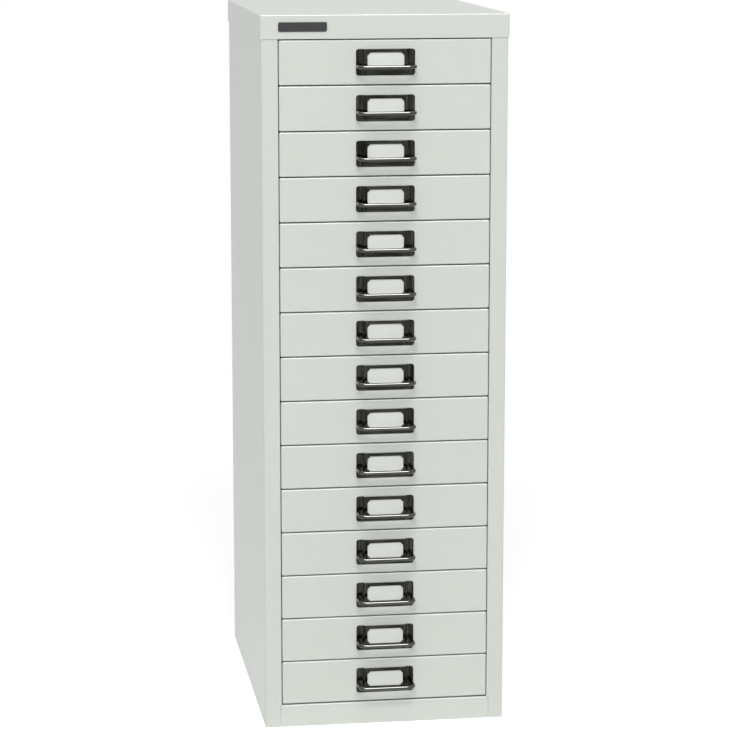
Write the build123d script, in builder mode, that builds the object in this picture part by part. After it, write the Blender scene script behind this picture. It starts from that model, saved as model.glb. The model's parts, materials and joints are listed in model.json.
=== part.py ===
from build123d import *
import os

# Steel multi-drawer cabinet, in millimetres. The origin is on the floor under the middle of the
# carcass. +X is to the right seen from the front, +Y to the back, +Z up. Drawer 01 is the top one.

# Carcass
drawer_count = 15
cabinet_width = 286.0
cabinet_depth = 390.0
cabinet_height = 842.0
carcass_sheet = 1.0
carcass_bend = 1.6
stile_width = 19.4
stile_lip = 9.0
rear_flange = 14.0
overrun = 5.0

# Top cover, a cap over the carcass, and the rail behind its front skirt
cover_height = 27.5
cover_gap = 0.2
cover_corner = 2.2
cover_bend = 1.5
header_return = 12.0

# Base pan and the plinth in front of it
base_upstand = 16.0
plinth_height = 27.0
plinth_return = 14.0
plinth_step = 2.4
plinth_gap = 0.4

# Blank badge on the cover's front skirt
badge_width = 56.0
badge_height = 11.0
badge_thickness = 1.2
badge_corner = 2.0
badge_edge = 0.4

# Drawer fronts
drawer_gap = 1.4
drawer_side_gap = 0.9
front_sheet = 0.9
front_lip = 2.0
front_depth = 12.0
front_corner = 1.5
front_bend = 1.5

# Drawer trays, which hang by their rims
tray_sheet = 0.9
tray_height = 43.0
tray_rear_room = 16.0
rim_width = 7.0
rim_side_gap = 2.6
rim_front_gap = 1.0
drawer_travel = 285.0

# Runners, channels on the side panels that hold the rims
runner_sheet = 1.0
runner_clearance = 0.3
runner_side_gap = 1.5
runner_front_gap = 2.5
runner_headroom = 3.2
stop_nib = 1.8
stop_tab = 2.4

# Label holders, pressed from sheet, open at the top for a card
plate_width = 68.4
plate_height = 30.4
plate_sheet = 0.9
plate_corner = 3.2
plate_rise = 2.6
plate_bend = 1.2
plate_edge = 0.3
plate_side_flange = 8.4
plate_bottom_flange = 3.0
window_side_margin = 12.9
window_top_margin = 4.0
window_bottom_margin = 8.2
window_corner_cut = 3.4

# Wire pulls, set in notches in the label holder's sides and headed over behind the drawer front
wire_diameter = 4.5
wire_fit = 0.1
pull_inset = 2.0
pull_drop = 19.8
pull_reach = 23.5
pull_bend = 9.5
rivet_head = 7.4
rivet_thickness = 1.3

# Faces and planes that several pieces share
half_width = cabinet_width / 2
front_y = -cabinet_depth / 2
back_y = cabinet_depth / 2
wall_x = half_width - carcass_sheet
opening_x = half_width - stile_width
opening_top = cabinet_height - cover_height
cover_underside = cabinet_height - carcass_sheet
skirt_y = front_y - cover_gap - carcass_sheet
drawer_pitch = (opening_top - plinth_height - drawer_gap) / drawer_count
front_height = drawer_pitch - drawer_gap
front_half_width = opening_x - drawer_side_gap

# Places inside one drawer, with heights measured from the bottom of its front
tray_front_y = front_y + front_sheet
tray_rear_y = back_y - tray_rear_room
rim_x = opening_x - rim_side_gap
tray_x = rim_x - rim_width
rim_top = front_sheet + tray_height
rim_bottom = rim_top - tray_sheet
runner_x = tray_x + runner_side_gap
runner_front_y = front_y + front_depth + runner_front_gap
runner_rear_y = tray_rear_y + runner_clearance + runner_sheet
runner_bottom = rim_bottom - runner_clearance - runner_sheet
runner_top = rim_top + runner_headroom + runner_sheet
tab_y = runner_front_y + runner_sheet + drawer_travel + runner_clearance
plate_bottom = (front_height - plate_height) / 2
plate_top = plate_bottom + plate_height
pull_x = plate_width / 2 - pull_inset
pull_z = plate_top - pull_drop
pull_y = front_y - pull_reach
rivet_y = tray_front_y + tray_sheet
hole_radius = wire_diameter / 2 + wire_fit


def drawer_bottom(number):
    """Height of the lower edge of one drawer's front, counted from the top."""
    return opening_top - number * drawer_pitch


def bent_strip(points, thickness):
    """Adds a folded sheet's section to the open sketch. The sheet lies to the left of its points."""
    with BuildLine() as outline:
        Polyline(*points)
        offset(amount=thickness, side=Side.LEFT)
    make_face(outline.edges())


def save(piece, name):
    """Labels one finished piece and writes it."""
    piece.label = name
    export_step(piece, f"parts/{name}.step")


os.makedirs("parts", exist_ok=True)

# Right side panel: wall, front stile with its lip and rear flange, folded from one sheet
with BuildPart() as right_side_panel:
    with BuildSketch() as section:
        bent_strip(
            [
                (opening_x, front_y + stile_lip),
                (opening_x, front_y),
                (half_width, front_y),
                (half_width, back_y),
                (half_width - rear_flange, back_y),
            ],
            carcass_sheet,
        )
        outer_bends = section.vertices().group_by(Axis.X)[-1]
        lip_bend = section.vertices().group_by(Axis.Y)[0].sort_by(Axis.X)[0]
        fillet([*outer_bends, lip_bend], carcass_bend)
    extrude(amount=cover_underside)
    with BuildSketch(Plane.XZ.offset(-front_y)):
        with BuildLine():
            Polyline(
                (opening_x - overrun, 0),
                (opening_x + plinth_step, 0),
                (opening_x + plinth_step, plinth_height - plinth_step),
                (opening_x, plinth_height),
                (opening_x - overrun, plinth_height),
                close=True,
            )
        make_face()
    extrude(amount=stile_lip + overrun, both=True, mode=Mode.SUBTRACT)
save(right_side_panel.part, "right_side_panel")

with BuildPart() as left_side_panel:
    mirror(right_side_panel.part, about=Plane.YZ)
save(left_side_panel.part, "left_side_panel")

# Back panel, welded inside the rear flanges
with BuildPart() as back_panel:
    with BuildSketch(Plane.XZ.offset(carcass_sheet - back_y)):
        Rectangle(2 * wall_x, cover_underside, align=(Align.CENTER, Align.MIN))
    extrude(amount=carcass_sheet)
save(back_panel.part, "back_panel")

# Base pan, an open tray between the walls whose underside stands on the floor
base_front_y = front_y + carcass_sheet
base_rear_y = back_y - 2 * carcass_sheet
with BuildPart() as base_pan:
    with BuildSketch():
        with Locations((0, base_front_y)):
            Rectangle(2 * wall_x, base_rear_y - base_front_y, align=(Align.CENTER, Align.MIN))
    extrude(amount=base_upstand)
    offset(amount=-carcass_sheet, openings=base_pan.faces().sort_by(Axis.Z)[-1])
save(base_pan.part, "base_pan")

# Plinth rail between the feet of the stiles, with mitred upper corners
plinth_half_width = opening_x + plinth_step - plinth_gap
plinth_top = plinth_height - plinth_gap
with BuildPart() as plinth_rail:
    with BuildSketch(Plane.YZ) as section:
        bent_strip(
            [(front_y + plinth_return, plinth_top), (front_y, plinth_top), (front_y, 0)],
            carcass_sheet,
        )
        fillet(section.vertices().group_by(Axis.Y)[-1].sort_by(Axis.X)[0], carcass_bend)
    extrude(amount=plinth_half_width, both=True)
    with BuildSketch(Plane.XZ.offset(-front_y)):
        with BuildLine():
            Polyline(
                (plinth_half_width, plinth_top - plinth_step),
                (plinth_half_width, plinth_top),
                (plinth_half_width - plinth_step, plinth_top),
                close=True,
            )
        make_face()
        mirror(about=Plane.YZ)
    extrude(amount=plinth_return + overrun, both=True, mode=Mode.SUBTRACT)
save(plinth_rail.part, "plinth_rail")

# Header rail between the stiles, hidden behind the cover's front skirt
with BuildPart() as header_rail:
    with BuildSketch(Plane.YZ):
        bent_strip(
            [
                (front_y + header_return, cover_underside),
                (front_y, cover_underside),
                (front_y, opening_top),
                (front_y + header_return, opening_top),
            ],
            carcass_sheet,
        )
    extrude(amount=opening_x, both=True)
save(header_rail.part, "header_rail")

# Top cover: a folded cap that stands on the walls, with a skirt just outside them
cover_width = cabinet_width + 2 * (cover_gap + carcass_sheet)
cover_depth = cabinet_depth + 2 * (cover_gap + carcass_sheet)
with BuildPart() as top_cover:
    with BuildSketch(Plane.XY.offset(opening_top)):
        RectangleRounded(cover_width, cover_depth, cover_corner)
    extrude(amount=cover_height)
    with BuildSketch(Plane.XY.offset(opening_top)):
        Rectangle(cabinet_width + 2 * cover_gap, cabinet_depth + 2 * cover_gap)
    extrude(amount=cover_height - carcass_sheet, mode=Mode.SUBTRACT)
    fillet(top_cover.faces().sort_by(Axis.Z)[-1].outer_wire().edges(), cover_bend)
save(top_cover.part, "top_cover")

# Blank badge near the cover's left end
with BuildPart() as blank_badge:
    with BuildSketch(Plane.XZ.offset(-skirt_y)):
        with Locations((badge_width / 2 - opening_x, opening_top + cover_height / 2)):
            RectangleRounded(badge_width, badge_height, badge_corner)
    extrude(amount=badge_thickness)
    fillet(blank_badge.faces().sort_by(Axis.Y)[0].edges(), badge_edge)
save(blank_badge.part, "blank_badge")

# One right-hand runner: a channel with a closing stop at the rear and a nib at its front end
with BuildPart() as runner:
    with BuildSketch(Plane.XZ.offset(-runner_front_y)):
        bent_strip(
            [
                (runner_x, runner_bottom),
                (wall_x, runner_bottom),
                (wall_x, runner_top),
                (runner_x, runner_top),
            ],
            runner_sheet,
        )
    extrude(amount=runner_front_y - runner_rear_y)
    with BuildSketch(Plane.XZ.offset(-runner_rear_y)):
        with Locations((runner_x, runner_bottom)):
            Rectangle(wall_x - runner_x, runner_top - runner_bottom, align=Align.MIN)
    extrude(amount=runner_sheet)
    with BuildSketch(Plane.XZ.offset(-runner_front_y)):
        with Locations((runner_x, runner_top - runner_sheet)):
            Rectangle(rim_x - runner_x, stop_nib, align=(Align.MIN, Align.MAX))
    extrude(amount=-runner_sheet)

# All runners of one side, a separate channel for each drawer
with BuildPart() as right_runners:
    with Locations([(0, 0, drawer_bottom(number + 1)) for number in range(drawer_count)]):
        add(runner.part)
save(right_runners.part, "right_runners")

with BuildPart() as left_runners:
    mirror(right_runners.part, about=Plane.YZ)
save(left_runners.part, "left_runners")

# Drawer tray: a base sheet with side walls and end plates welded onto it
tray_inner_x = tray_x - tray_sheet
tray_floor = front_sheet + tray_sheet
rim_front_y = front_y + front_depth + rim_front_gap
with BuildPart() as tray_base:
    with BuildSketch(Plane.XY.offset(front_sheet)):
        with Locations((0, tray_front_y)):
            Rectangle(2 * tray_x, tray_rear_y - tray_front_y, align=(Align.CENTER, Align.MIN))
    extrude(amount=tray_sheet)

# Side wall with an outward rim, which stops short of the front and carries a stop tab
with BuildPart() as tray_right_side:
    with BuildSketch(Plane.XZ.offset(-tray_front_y)):
        bent_strip(
            [(rim_x, rim_top), (tray_inner_x, rim_top), (tray_inner_x, tray_floor)],
            tray_sheet,
        )
    extrude(amount=tray_front_y - tray_rear_y)
    with BuildSketch(Plane.XY.offset(rim_bottom)):
        with Locations((tray_x, tray_front_y)):
            Rectangle(rim_width, rim_front_y - tray_front_y, align=Align.MIN)
    extrude(amount=tray_sheet, mode=Mode.SUBTRACT)
    with BuildSketch(Plane.XY.offset(rim_top)):
        with Locations((runner_x, tab_y)):
            Rectangle(rim_x - runner_x, tray_sheet, align=Align.MIN)
    extrude(amount=stop_tab)

with BuildPart() as tray_left_side:
    mirror(tray_right_side.part, about=Plane.YZ)

# End plates between the side walls, the front one drilled for the wire pull
with BuildPart() as tray_rear_end:
    with BuildSketch(Plane.XZ.offset(-tray_rear_y)):
        with Locations((0, tray_floor)):
            Rectangle(2 * tray_inner_x, rim_top - tray_floor, align=(Align.CENTER, Align.MIN))
    extrude(amount=tray_sheet)

with BuildPart() as tray_front_end:
    with BuildSketch(Plane.XZ.offset(-tray_front_y)):
        with Locations((0, tray_floor)):
            Rectangle(2 * tray_inner_x, rim_top - tray_floor, align=(Align.CENTER, Align.MIN))
        with Locations((-pull_x, pull_z), (pull_x, pull_z)):
            Circle(hole_radius, mode=Mode.SUBTRACT)
    extrude(amount=-tray_sheet)

# Drawer front: a face with a rounded lip, and four return strips behind it around the end of the tray
with BuildPart() as front_face:
    with BuildSketch(Plane.XZ.offset(-front_y)):
        with Locations((0, front_height / 2)):
            RectangleRounded(2 * front_half_width, front_height, front_corner)
    extrude(amount=-front_lip)
    fillet(front_face.faces().sort_by(Axis.Y)[0].edges(), front_bend)
    with BuildSketch(Plane.XZ.offset(-tray_front_y)):
        with Locations((0, front_height / 2)):
            Rectangle(2 * (front_half_width - front_sheet), front_height - 2 * front_sheet)
    extrude(amount=-front_lip, mode=Mode.SUBTRACT)
    with BuildSketch(Plane.XZ.offset(-front_y)):
        with Locations((-pull_x, pull_z), (pull_x, pull_z)):
            Circle(hole_radius)
    extrude(amount=-front_sheet, mode=Mode.SUBTRACT)

with BuildPart() as front_returns:
    with BuildSketch(Plane.XZ.offset(-front_y - front_lip)):
        with Locations((0, front_height / 2)):
            with GridLocations(0, front_height - front_sheet, 1, 2):
                Rectangle(2 * (front_half_width - front_corner), front_sheet)
            with GridLocations(2 * front_half_width - front_sheet, 0, 2, 1):
                Rectangle(front_sheet, front_height - 2 * front_corner)
    extrude(amount=front_lip - front_depth)

# Label holder: a flat flange with a raised, windowed pocket that is open at the top
pocket_width = plate_width - 2 * plate_side_flange
pocket_height = plate_height - plate_bottom_flange
window_width = plate_width - 2 * window_side_margin
window_height = plate_height - window_top_margin - window_bottom_margin
flange_y = front_y - plate_sheet
with BuildPart() as label_holder:
    with BuildSketch(Plane.XZ.offset(-front_y)):
        with Locations((0, plate_top)):
            RectangleRounded(plate_width, plate_height, plate_corner, align=(Align.CENTER, Align.MAX))
    extrude(amount=plate_sheet)
    with BuildSketch(Plane.XZ.offset(-front_y)):
        with Locations((0, plate_top)):
            Rectangle(pocket_width, pocket_height, align=(Align.CENTER, Align.MAX))
    extrude(amount=plate_rise + plate_sheet)
    pocket_face = label_holder.faces().sort_by(Axis.Y)[0]
    fillet(pocket_face.edges().sort_by(Axis.Z)[:-1], plate_bend)
    flange_edges = label_holder.edges().filter_by_position(Axis.Y, flange_y, flange_y)
    pocket_edges = flange_edges.filter_by(lambda edge: abs(edge.center().X) <= pocket_width / 2)
    fillet(pocket_edges.sort_by(Axis.Z)[1:], plate_bend)
    flange_edges = label_holder.edges().filter_by_position(Axis.Y, flange_y, flange_y)
    outer_edges = flange_edges.filter_by(lambda edge: abs(edge.center().X) > pull_x)
    fillet([*outer_edges, flange_edges.sort_by(Axis.Z)[0]], plate_edge)
    with BuildSketch(Plane.XZ.offset(-front_y)):
        with Locations((0, plate_top)):
            Rectangle(
                pocket_width - 2 * plate_sheet,
                pocket_height - plate_sheet,
                align=(Align.CENTER, Align.MAX),
            )
    extrude(amount=plate_rise, mode=Mode.SUBTRACT)
    with BuildSketch(Plane.XZ.offset(-front_y)) as window:
        with Locations((0, plate_top - window_top_margin)):
            Rectangle(window_width, window_height, align=(Align.CENTER, Align.MAX))
        chamfer(window.vertices(), window_corner_cut)
    extrude(amount=plate_rise + plate_sheet, mode=Mode.SUBTRACT)
    with BuildSketch(Plane.XZ.offset(-front_y)):
        with Locations((-pull_x, pull_z), (pull_x, pull_z)):
            Circle(hole_radius)
    extrude(amount=plate_sheet, mode=Mode.SUBTRACT)

# Wire pull: a bent loop whose ends pass through the front and are headed inside the tray
with BuildPart() as wire_pull:
    with BuildLine(Plane.XY.offset(pull_z)) as loop:
        FilletPolyline(
            (-pull_x, rivet_y),
            (-pull_x, pull_y),
            (pull_x, pull_y),
            (pull_x, rivet_y),
            radius=pull_bend,
        )
    with BuildSketch(Plane.XZ.offset(-rivet_y)):
        with Locations((-pull_x, pull_z)):
            Circle(wire_diameter / 2)
    sweep(path=loop.line)
    with BuildSketch(Plane.XZ.offset(-rivet_y)):
        with Locations((-pull_x, pull_z), (pull_x, pull_z)):
            Circle(rivet_head / 2)
    extrude(amount=-rivet_thickness)

# Each drawer is the same set of pieces, raised to its place
tray_pieces = [tray_base, tray_left_side, tray_right_side, tray_front_end, tray_rear_end]
front_pieces = [front_face, front_returns]
pull_pieces = [label_holder, wire_pull]
for number in range(1, drawer_count + 1):
    place = Location((0, 0, drawer_bottom(number)))
    save(Compound([piece.part.moved(place) for piece in tray_pieces]), f"drawer_tray_{number:02d}")
    save(Compound([piece.part.moved(place) for piece in front_pieces]), f"drawer_front_{number:02d}")
    save(Compound([piece.part.moved(place) for piece in pull_pieces]), f"label_pull_{number:02d}")
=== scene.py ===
import json
import math

import bmesh
import bpy
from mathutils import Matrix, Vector


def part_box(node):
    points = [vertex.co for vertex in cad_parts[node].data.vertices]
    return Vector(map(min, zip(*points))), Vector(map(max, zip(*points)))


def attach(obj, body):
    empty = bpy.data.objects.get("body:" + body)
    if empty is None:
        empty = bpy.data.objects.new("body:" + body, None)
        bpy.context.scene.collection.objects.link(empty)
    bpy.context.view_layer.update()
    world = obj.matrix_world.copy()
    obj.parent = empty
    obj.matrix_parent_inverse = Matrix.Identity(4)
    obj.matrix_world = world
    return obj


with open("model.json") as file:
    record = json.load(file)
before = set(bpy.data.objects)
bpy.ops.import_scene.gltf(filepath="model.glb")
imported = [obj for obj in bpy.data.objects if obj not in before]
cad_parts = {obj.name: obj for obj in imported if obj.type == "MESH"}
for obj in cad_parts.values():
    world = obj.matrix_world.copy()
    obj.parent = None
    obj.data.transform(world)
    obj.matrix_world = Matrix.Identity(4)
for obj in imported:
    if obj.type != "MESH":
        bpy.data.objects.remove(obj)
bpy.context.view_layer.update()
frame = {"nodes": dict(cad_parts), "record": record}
nodes = frame["nodes"]

# Finish colours, linear
PAINT = (0.655, 0.69, 0.64)
# The nickel colours are far darker than bright plating, a painted dark reflection; the wire is darkened
# less than the holder
PULL_METAL = (0.0315, 0.0315, 0.0295)
WIRE_METAL = (0.082, 0.081, 0.079)
RUNNER_STEEL = (0.52, 0.53, 0.54)
BADGE_DARK = (0.02, 0.02, 0.022)
CARD_WHITE = (0.72, 0.745, 0.705)
FLOOR_GREY = (0.92, 0.92, 0.92, 1.0)
WHITE = (1.0, 1.0, 1.0, 1.0)

# In the surface detail below, scales are features per metre, a bump is a depth in metres and a strength,
# and tints multiply the finish colour.

# Lighter edges (worn on the metal, and on the paint a thinner coat and a painted highlight) and painted
# shade in hollows: reach in metres, and the range over which they fade
PAINT_EDGE = 0.0007
METAL_EDGE = 0.00035
EDGE_FADE = (0.7, 0.99)
EDGE_SAMPLES = 6
HOLLOW_DEPTH = 0.0025
HOLLOW_FADE = (0.3, 0.8)
HOLLOW_SAMPLES = 8

# Paint
CLOUD_SCALE = 5.0
CLOUD_TINTS = (0.985, 1.015)
PEEL_SCALE = 520.0
PEEL_BUMP = (0.00003, 0.35)
GRAIN_SCALE = 2080.0
PAINT_ROUGHNESS = (0.3, 0.38)
# Lighter paint on the bends: part thinner coat, part painted highlight
THIN_COAT_HIGHLIGHT_AMOUNT = (0.3, 0.9)
THIN_COAT_HIGHLIGHT_TINT = 1.12

# Metal of the runners, label holders and wire pulls
METAL_BUMP = (0.00001, 0.2)
RUNNER_STREAKS = (400.0, 12.0, 400.0)
RUNNER_SMEARS = 60.0
RUNNER_TINTS = (0.9, 1.1)
RUNNER_EDGE_TINT = 1.6
# Tint of the painted shade in the runner's hollows
RUNNER_HOLLOW_SHADE_TINT = 0.45
RUNNER_ROUGHNESS = (0.32, 0.48)
# Streaks of painted reflection on the label holders: upright beside the window, level on the strips
SIDE_STREAKS = (420.0, 420.0, 24.0)
STRIP_STREAKS = (24.0, 420.0, 420.0)
STREAK_ROUGHNESS = 0.6
STREAK_CONTRAST = (0.36, 0.64)
PULL_GRAIN = 900.0
PULL_TINTS = (0.35, 1.9)
PULL_EDGE_TINT = 3.0
# Tint of the painted shade in the holder's hollows
PULL_HOLLOW_SHADE_TINT = 0.7
PULL_ROUGHNESS = (0.06, 0.14)
HOLDER_RISE = 0.0045
WINDOW_HALF = 0.0213
WINDOW_BLEND = 0.001

# Enamel of the blank badge
BADGE_GRAIN = 900.0
BADGE_BUMP = (0.00002, 0.3)
BADGE_TINTS = (0.8, 1.25)
BADGE_ROUGHNESS = (0.3, 0.42)

# Blank card in each label holder
CARD_SIZE = (0.0486, 0.0254)
CARD_THICKNESS = 0.0003
CARD_CORNER = 0.0012
CARD_CORNER_STEPS = 5
CARD_TOP_GAP = 0.0006
CARD_STAND_OFF = 0.0021
CARD_BOW = 0.00012
CARD_BOW_STEPS = 10
CARD_FIBRE = 1500.0
CARD_BUMP = (0.00002, 0.25)
CARD_TINTS = (0.97, 1.03)
CARD_ROUGHNESS = (0.75, 0.9)

# Camera, fitted to the photo's corners and drawer seams
CAMERA_PLACE = (-0.4578, -3.1956, 0.9946)
CAMERA_YAW = 0.1448
CAMERA_PITCH = 0.1834
FOCAL_PIXELS = 2642.5
PHOTO_PIXELS = 736

# Light, as radiances where 1 is white
FILL_LIGHT = 0.415
KEY_LIGHT = 9.3
KEY_PLACE = (-1.2, -8.9, 7.8)
KEY_SIZE = (5.8, 3.8)
SMALL_LAMP_LIGHT = 60.0
SMALL_LAMP_PLACE = (-0.7, -4.4, 4.9)
SMALL_LAMP_SIZE = (0.35, 0.35)
SHEEN_LIGHT = 23.0
SHEEN_PLACE = (-0.35, -1.5, 3.2)
SHEEN_SIZE = (3.2, 1.5)
AIM = (0.0, -0.2, 0.42)

# Floor: own glow where it is seen, and the distances over which it turns white
FLOOR_LIFT = 0.43
FLOOR_RADIUS = 12.0
FLOOR_SIDES = 96
FLOOR_FADE = (0.7, 2.2)


def tint(colour, amount=1.0):
    """A colour made darker or lighter, with its alpha."""
    return (*(min(1.0, channel * amount) for channel in colour), 1.0)


class Shader:
    """The emptied node tree of a material or world, with short calls to fill it."""

    def __init__(self, owner, output):
        owner.use_nodes = True
        self.owner = owner
        self.tree = owner.node_tree
        self.tree.nodes.clear()
        self.output = self.node(output)

    def put(self, value, socket):
        """Links another node's socket to this one, or sets a plain value on it."""
        if isinstance(value, bpy.types.NodeSocket):
            self.tree.links.new(value, socket)
        else:
            socket.default_value = value

    def node(self, kind, settings=None, **inputs):
        made = self.tree.nodes.new("ShaderNode" + kind)
        for key, value in (settings or {}).items():
            setattr(made, key, value)
        for key, value in inputs.items():
            self.put(value, made.inputs[key.replace("_", " ")])
        return made

    def math(self, operation, *values):
        made = self.node("Math", {"operation": operation})
        for value, socket in zip(values, made.inputs):
            self.put(value, socket)
        return made.outputs["Value"]

    def place(self):
        return self.node("TexCoord").outputs["Object"]

    def noise(self, place, scale, detail=3.0, roughness=0.5):
        made = self.node("TexNoise", Vector=place, Scale=scale, Detail=detail, Roughness=roughness)
        return made.outputs["Fac"]

    def streaks(self, place, scales, **settings):
        """Noise drawn out along the axis that has the lowest scale."""
        stretched = self.node("Mapping", Vector=place, Scale=scales)
        return self.noise(stretched.outputs["Vector"], 1.0, **settings)

    def fade(self, value, start, end, low=0.0, high=1.0, curve="LINEAR"):
        """Maps start to end onto low to high."""
        made = self.node(
            "MapRange",
            {"interpolation_type": curve},
            Value=value,
            From_Min=start,
            From_Max=end,
            To_Min=low,
            To_Max=high,
        )
        return made.outputs["Result"]

    def span(self, value, low, high):
        """Maps a 0 to 1 value onto low to high."""
        return self.fade(value, 0.0, 1.0, low, high)

    def ramp(self, value, colour, tints):
        """Runs from the first tint of a colour to the second."""
        made = self.node("ValToRGB", Fac=value)
        for element, amount in zip(made.color_ramp.elements, tints):
            element.color = tint(colour, amount)
        return made.outputs["Color"]

    def mix(self, amount, first, second):
        """Blends from the first colour to the second."""
        made = self.node("MixRGB", Fac=amount, Color1=first, Color2=second)
        return made.outputs["Color"]

    def bump(self, height, depth, strength):
        made = self.node("Bump", Height=height, Distance=depth, Strength=strength)
        return made.outputs["Normal"]

    def edges(self, radius):
        """1 on sharp and tightly rounded edges, 0 on flat faces."""
        rounded = self.node("Bevel", {"samples": EDGE_SAMPLES}, Radius=radius)
        plain = self.node("NewGeometry")
        turn = self.node("VectorMath", {"operation": "DOT_PRODUCT"})
        self.put(rounded.outputs["Normal"], turn.inputs[0])
        self.put(plain.outputs["True Normal"], turn.inputs[1])
        return self.fade(turn.outputs["Value"], *EDGE_FADE, low=1.0, high=0.0)

    def painted_hollow_shade(self):
        """1 deep in corners and recesses, 0 in the open, as the mask for painted shade."""
        open_sky = self.node("AmbientOcclusion", {"samples": HOLLOW_SAMPLES}, Distance=HOLLOW_DEPTH)
        return self.fade(open_sky.outputs["AO"], *HOLLOW_FADE, low=1.0, high=0.0)

    def seen_directly(self):
        """1 for camera, mirror and see-through rays, 0 for the rays that carry soft light."""
        rays = self.node("LightPath").outputs
        first = self.math("MAXIMUM", rays["Is Camera Ray"], rays["Is Glossy Ray"])
        return self.math("MAXIMUM", first, rays["Is Transmission Ray"])

    def surface(self, **inputs):
        """Ends the tree in a principled surface and returns the material."""
        shader = self.node("BsdfPrincipled", **inputs)
        self.put(shader.outputs["BSDF"], self.output.inputs["Surface"])
        return self.owner


def new_shader(name):
    return Shader(bpy.data.materials.new(name), "OutputMaterial")


def paint_material():
    """Satin powder coat: fine orange peel, faint cloudiness, lighter on the bends where the coat is
    thinner and a highlight is painted.
    """
    s = new_shader("satin_powder_coat")
    place = s.place()
    cloud = s.noise(place, CLOUD_SCALE)
    peel = s.noise(place, PEEL_SCALE, detail=2.0)
    grain = s.noise(place, GRAIN_SCALE, detail=1.0)
    body = s.ramp(cloud, PAINT, CLOUD_TINTS)
    # Lighter paint on the bends: a thinner coat and a painted highlight
    thin_coat_highlight = s.math("MULTIPLY", s.edges(PAINT_EDGE), s.span(peel, *THIN_COAT_HIGHLIGHT_AMOUNT))
    return s.surface(
        Base_Color=s.mix(thin_coat_highlight, body, tint(PAINT, THIN_COAT_HIGHLIGHT_TINT)),
        Roughness=s.span(grain, *PAINT_ROUGHNESS),
        Normal=s.bump(peel, *PEEL_BUMP),
    )


def runner_material():
    """Zinc plate: faint streaks along the runner, and smears."""
    s = new_shader("zinc_plated_steel")
    place = s.place()
    streaks = s.streaks(place, RUNNER_STREAKS, detail=4.0)
    smear = s.noise(place, RUNNER_SMEARS)
    body = s.ramp(smear, RUNNER_STEEL, RUNNER_TINTS)
    body = s.mix(s.edges(METAL_EDGE), body, tint(RUNNER_STEEL, RUNNER_EDGE_TINT))
    # Painted shade: the zinc darkened in corners and recesses
    body = s.mix(s.painted_hollow_shade(), body, tint(RUNNER_STEEL, RUNNER_HOLLOW_SHADE_TINT))
    return s.surface(
        Base_Color=body,
        Metallic=1.0,
        Roughness=s.span(streaks, *RUNNER_ROUGHNESS),
        Normal=s.bump(streaks, *METAL_BUMP),
    )


def pull_material():
    """Nickel plate darkened as a painted dark reflection, with streaks of painted reflection along the
    holder's strips and a lighter wire.
    """
    s = new_shader("nickel_with_painted_dark_reflection")
    place = s.place()
    axes = s.node("SeparateXYZ", Vector=place).outputs
    across = s.math("ABSOLUTE", axes["X"])
    beside_window = s.fade(across, WINDOW_HALF - WINDOW_BLEND, WINDOW_HALF + WINDOW_BLEND)
    # Painted reflection: streaks of lighter and darker nickel, upright beside the window and level on the
    # strips
    upright = s.streaks(place, SIDE_STREAKS, roughness=STREAK_ROUGHNESS)
    level = s.streaks(place, STRIP_STREAKS, roughness=STREAK_ROUGHNESS)
    reflection_streaks = s.fade(s.mix(beside_window, level, upright), *STREAK_CONTRAST)
    holder_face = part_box("drawer_front_01")[0][1] - HOLDER_RISE
    wire = s.fade(axes["Y"], holder_face, holder_face - HOLDER_RISE)
    grain = s.noise(place, PULL_GRAIN, detail=4.0)
    body = s.ramp(reflection_streaks, PULL_METAL, PULL_TINTS)
    body = s.mix(wire, body, tint(WIRE_METAL))
    body = s.mix(s.edges(METAL_EDGE), body, tint(PULL_METAL, PULL_EDGE_TINT))
    # Painted shade: the nickel darkened in corners and recesses
    body = s.mix(s.painted_hollow_shade(), body, tint(PULL_METAL, PULL_HOLLOW_SHADE_TINT))
    return s.surface(
        Base_Color=body,
        Metallic=1.0,
        Roughness=s.span(grain, *PULL_ROUGHNESS),
        Normal=s.bump(grain, *METAL_BUMP),
    )


def badge_material():
    """Dark satin enamel on the blank badge."""
    s = new_shader("dark_badge_enamel")
    grain = s.noise(s.place(), BADGE_GRAIN)
    return s.surface(
        Base_Color=s.ramp(grain, BADGE_DARK, BADGE_TINTS),
        Roughness=s.span(grain, *BADGE_ROUGHNESS),
        Normal=s.bump(grain, *BADGE_BUMP),
    )


def card_material():
    """Off-white card stock with a fine fibre."""
    s = new_shader("card_stock")
    fibre = s.noise(s.place(), CARD_FIBRE, detail=4.0)
    return s.surface(
        Base_Color=s.ramp(fibre, CARD_WHITE, CARD_TINTS),
        Roughness=s.span(fibre, *CARD_ROUGHNESS),
        Normal=s.bump(fibre, *CARD_BUMP),
    )


def floor_material():
    """Pale floor that keeps the soft shadow near the object and turns white further out."""
    s = new_shader("pale_floor")
    shows = s.seen_directly()
    matt = s.node("BsdfDiffuse", Color=FLOOR_GREY)
    glow = s.node("Emission", Color=WHITE, Strength=s.math("MULTIPLY", shows, FLOOR_LIFT))
    near = s.node("AddShader")
    s.put(matt.outputs["BSDF"], near.inputs[0])
    s.put(glow.outputs["Emission"], near.inputs[1])
    far = s.node("Emission", Color=WHITE, Strength=1.0)
    distance = s.node("VectorMath", {"operation": "LENGTH"}, Vector=s.place())
    outward = s.fade(distance.outputs["Value"], *FLOOR_FADE, curve="SMOOTHSTEP")
    mix = s.node("MixShader", Fac=s.math("MULTIPLY", outward, shows))
    s.put(near.outputs["Shader"], mix.inputs[1])
    s.put(far.outputs["Emission"], mix.inputs[2])
    s.put(mix.outputs["Shader"], s.output.inputs["Surface"])
    return s.owner


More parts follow.
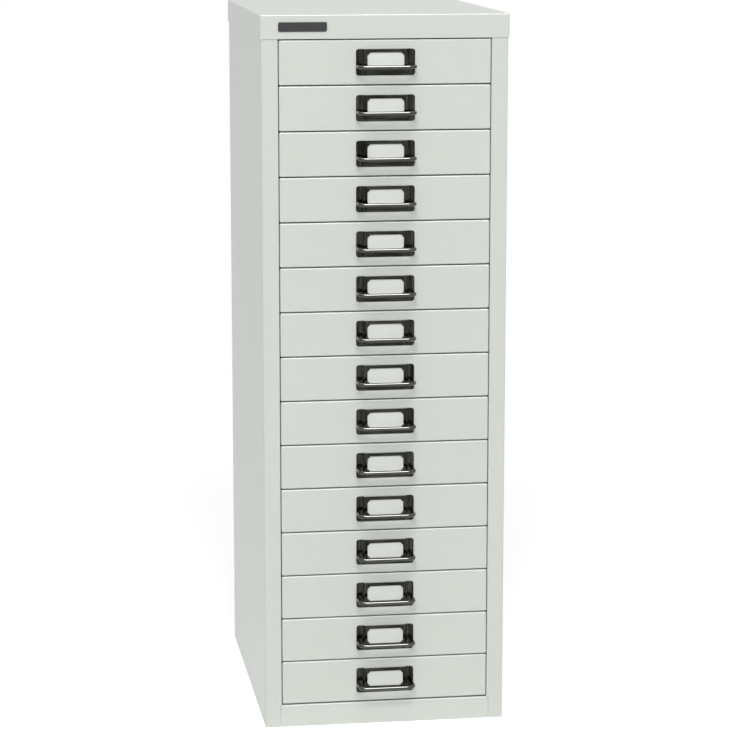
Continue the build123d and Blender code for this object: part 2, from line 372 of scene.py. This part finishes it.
def dress_nodes():
    paint = paint_material()
    finishes = {
        "cabinet_paint": paint,
        "drawer_paint": paint,
        "pull_metal": pull_material(),
        "runner_steel": runner_material(),
        "badge_dark": badge_material(),
    }
    slots = {row["node"]: row["material_slot"] for row in frame["record"]["subparts"]}
    for name, piece in nodes.items():
        piece.material_slots[0].material = finishes[slots[name]]


def card_outline():
    """Points around a card with rounded corners, with its middle at zero."""
    points = []
    for turn, (side, end) in enumerate(((1, 1), (-1, 1), (-1, -1), (1, -1))):
        for step in range(CARD_CORNER_STEPS + 1):
            angle = (turn + step / CARD_CORNER_STEPS) * math.pi / 2
            x = side * (CARD_SIZE[0] / 2 - CARD_CORNER) + CARD_CORNER * math.cos(angle)
            z = end * (CARD_SIZE[1] / 2 - CARD_CORNER) + CARD_CORNER * math.sin(angle)
            points.append((x, z))
    return points


def build_card(number, material):
    """A slightly bowed blank card in the pocket of one label holder."""
    half = CARD_SIZE[0] / 2
    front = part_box("drawer_front_" + number)[0][1] - CARD_STAND_OFF
    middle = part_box("label_pull_" + number)[1][2] - CARD_TOP_GAP - CARD_SIZE[1] / 2
    mesh = bmesh.new()
    mesh.faces.new([mesh.verts.new((x, 0.0, z)) for x, z in card_outline()])
    for step in range(1, CARD_BOW_STEPS):
        cut = (half * (2 * step / CARD_BOW_STEPS - 1), 0.0, 0.0)
        geometry = mesh.verts[:] + mesh.edges[:] + mesh.faces[:]
        bmesh.ops.bisect_plane(mesh, geom=geometry, plane_co=cut, plane_no=(1.0, 0.0, 0.0))
    for made in bmesh.ops.extrude_face_region(mesh, geom=mesh.faces[:])["geom"]:
        if isinstance(made, bmesh.types.BMVert):
            made.co.y -= CARD_THICKNESS
    for vert in mesh.verts:
        vert.co.y += front - CARD_BOW * (1 - (vert.co.x / half) ** 2)
        vert.co.z += middle
    bmesh.ops.recalc_face_normals(mesh, faces=mesh.faces)
    data = bpy.data.meshes.new("label_card_" + number)
    mesh.to_mesh(data)
    mesh.free()
    data.materials.append(material)
    card = bpy.data.objects.new("label_card_" + number, data)
    bpy.context.scene.collection.objects.link(card)
    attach(card, "drawer_" + number)


def build_cards():
    material = card_material()
    for name in sorted(nodes):
        if name.startswith("label_pull_"):
            build_card(name[-2:], material)


def build_floor():
    bpy.ops.mesh.primitive_circle_add(vertices=FLOOR_SIDES, radius=FLOOR_RADIUS, fill_type="NGON")
    floor = bpy.context.object
    floor.name = "floor"
    floor.data.materials.append(floor_material())


def build_world():
    """A sky that is white where it is seen and dimmer as a fill light."""
    world = bpy.data.worlds.new("studio")
    bpy.context.scene.world = world
    s = Shader(world, "OutputWorld")
    sky = s.node("Background", Color=WHITE, Strength=s.span(s.seen_directly(), FILL_LIGHT, 1.0))
    s.put(sky.outputs["Background"], s.output.inputs["Surface"])


def add_softbox(name, place, size, radiance):
    lamp = bpy.data.lights.new(name, "AREA")
    lamp.shape = "RECTANGLE"
    lamp.size, lamp.size_y = size
    lamp.energy = radiance * math.pi * size[0] * size[1]
    holder = bpy.data.objects.new(name, lamp)
    holder.location = place
    holder.rotation_euler = (Vector(AIM) - Vector(place)).to_track_quat("-Z", "Y").to_euler()
    bpy.context.scene.collection.objects.link(holder)
    return holder


def build_camera():
    data = bpy.data.cameras.new("photo_camera")
    data.lens = FOCAL_PIXELS / PHOTO_PIXELS * data.sensor_width
    camera = bpy.data.objects.new("photo_camera", data)
    camera.location = CAMERA_PLACE
    camera.rotation_euler = (math.pi / 2 - CAMERA_PITCH, 0.0, -CAMERA_YAW)
    bpy.context.scene.collection.objects.link(camera)
    bpy.context.scene.camera = camera


dress_nodes()
build_cards()
build_floor()
build_world()
add_softbox("key_softbox", KEY_PLACE, KEY_SIZE, KEY_LIGHT)
add_softbox("small_lamp", SMALL_LAMP_PLACE, SMALL_LAMP_SIZE, SMALL_LAMP_LIGHT)
# A wide panel overhead that shows only as a sheen on wire, bends and edges
add_softbox("sheen_panel", SHEEN_PLACE, SHEEN_SIZE, SHEEN_LIGHT).visible_diffuse = False
build_camera()
bpy.context.scene.view_settings.view_transform = "Standard"
